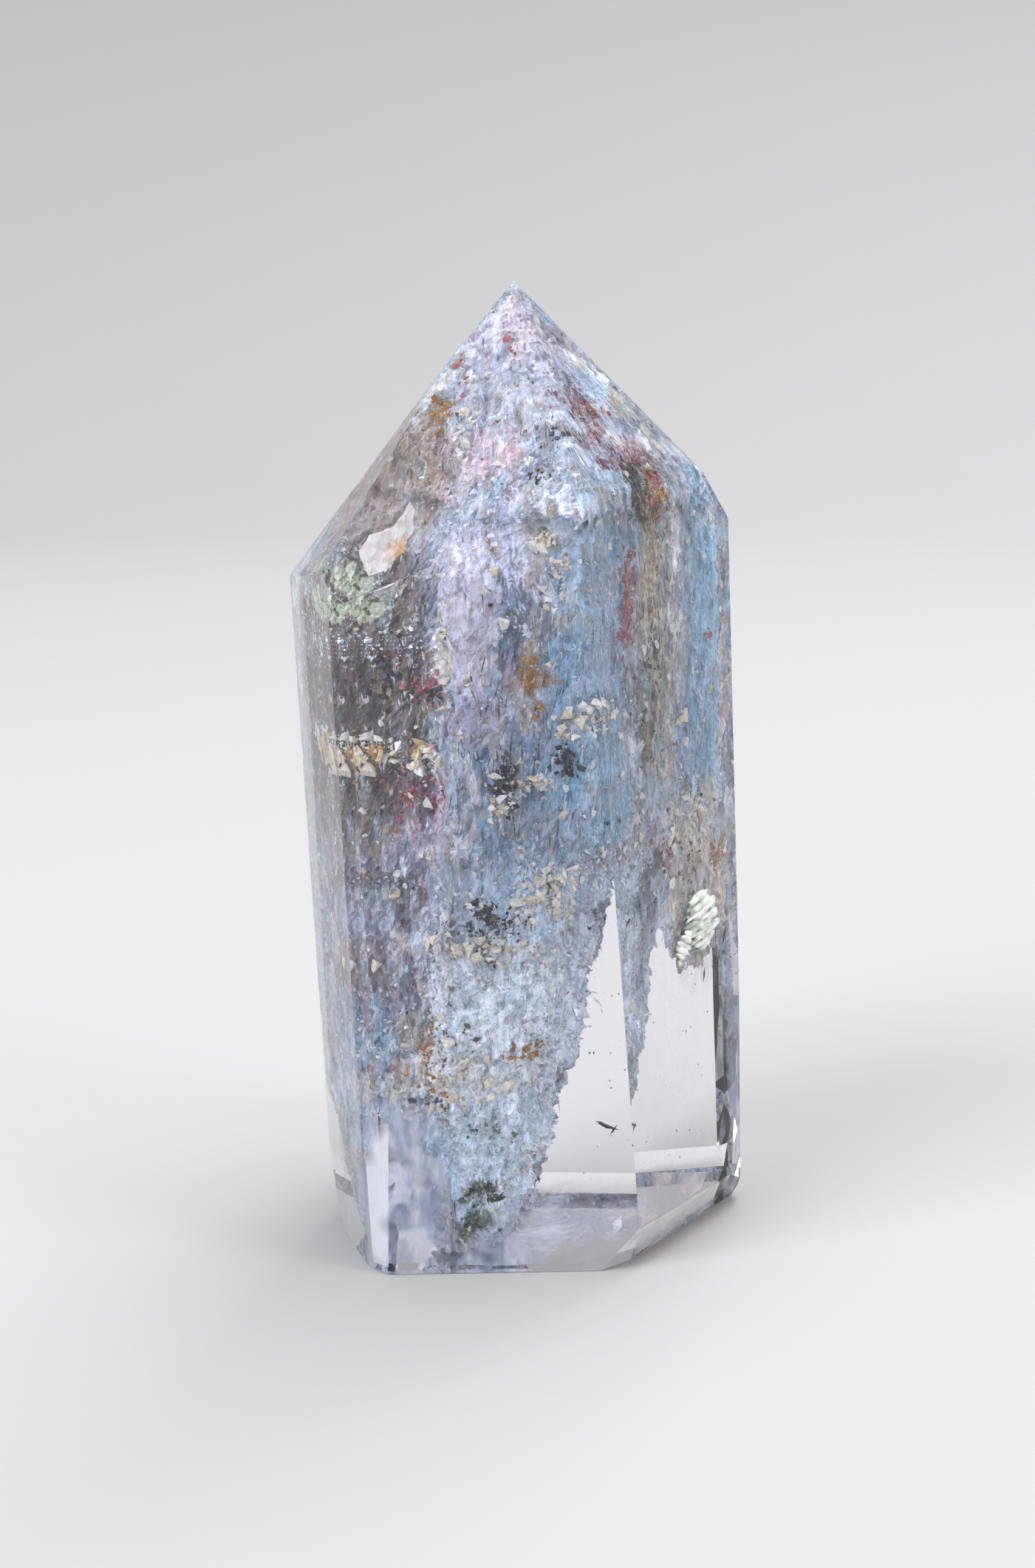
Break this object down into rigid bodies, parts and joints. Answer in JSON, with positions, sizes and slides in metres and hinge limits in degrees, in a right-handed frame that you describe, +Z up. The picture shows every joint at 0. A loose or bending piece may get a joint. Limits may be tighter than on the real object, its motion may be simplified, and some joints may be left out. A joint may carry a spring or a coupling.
{
  "type": "lodolite quartz point",
  "caption": "Polished clear quartz tower with a faceted point and a flat base, grown round a sealed garden of mineral inclusions.",
  "frame": {"origin": "under the middle of the tower's box, on the plane of its flat base", "axes": "+Z up along the tower to its point, -Y out of the widest polished face, +X to the right seen from the front"},
  "size_m": [0.0296, 0.0228, 0.0605],
  "materials": {
    "clear_quartz": "polished, clear",
    "garden_minerals": "natural minerals, matt"
  },
  "bodies": {
    "root": {"quartz_front": "clear_quartz", "quartz_back": "clear_quartz", "mineral_garden": "garden_minerals"}
  },
  "joints": []
}
